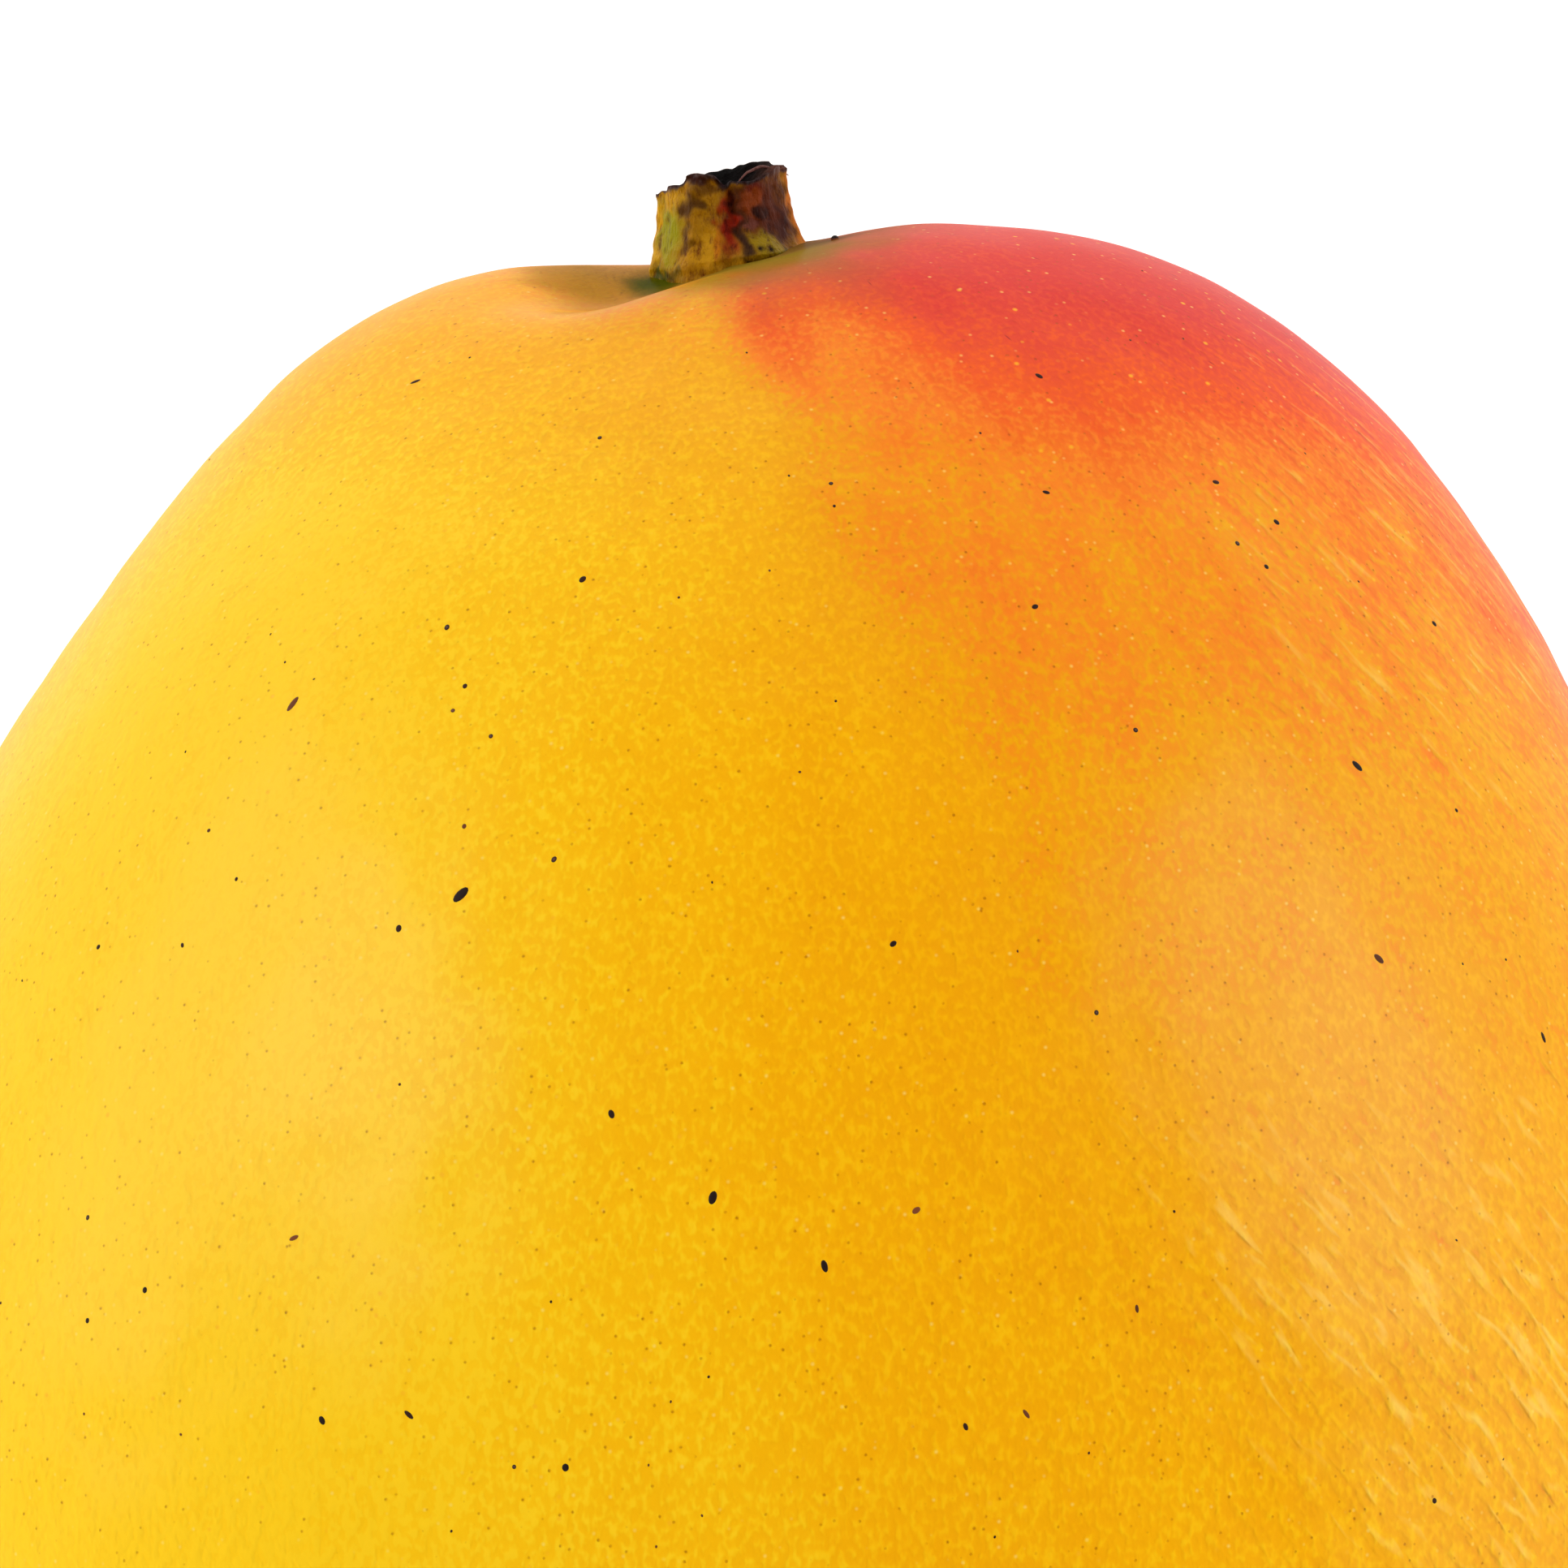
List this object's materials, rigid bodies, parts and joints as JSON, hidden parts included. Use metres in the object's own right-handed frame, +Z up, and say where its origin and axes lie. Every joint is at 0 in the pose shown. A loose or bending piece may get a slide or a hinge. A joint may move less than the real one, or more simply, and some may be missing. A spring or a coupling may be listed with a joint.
{
  "type": "mango",
  "caption": "Whole ripe mango lying on its cheek: a kidney-sided oval fruit with rounded shoulders, a small beak near the tip and a short stub of cut stalk.",
  "frame": {"origin": "on the surface that the mango lies on, under the middle of its bounding box", "axes": "+Y from the tip to the stem end, +X towards the fuller side, +Z up through both cheeks"},
  "size_m": [0.092, 0.1248, 0.0791],
  "materials": {
    "mango_skin": "smooth waxy fruit skin, satin to glossy, yellow to orange with a red blush on one shoulder",
    "dry_stalk": "drying green-brown stalk with a dark torn cut"
  },
  "bodies": {
    "root": {"fruit": "mango_skin", "stem_stub": "dry_stalk"}
  },
  "joints": []
}
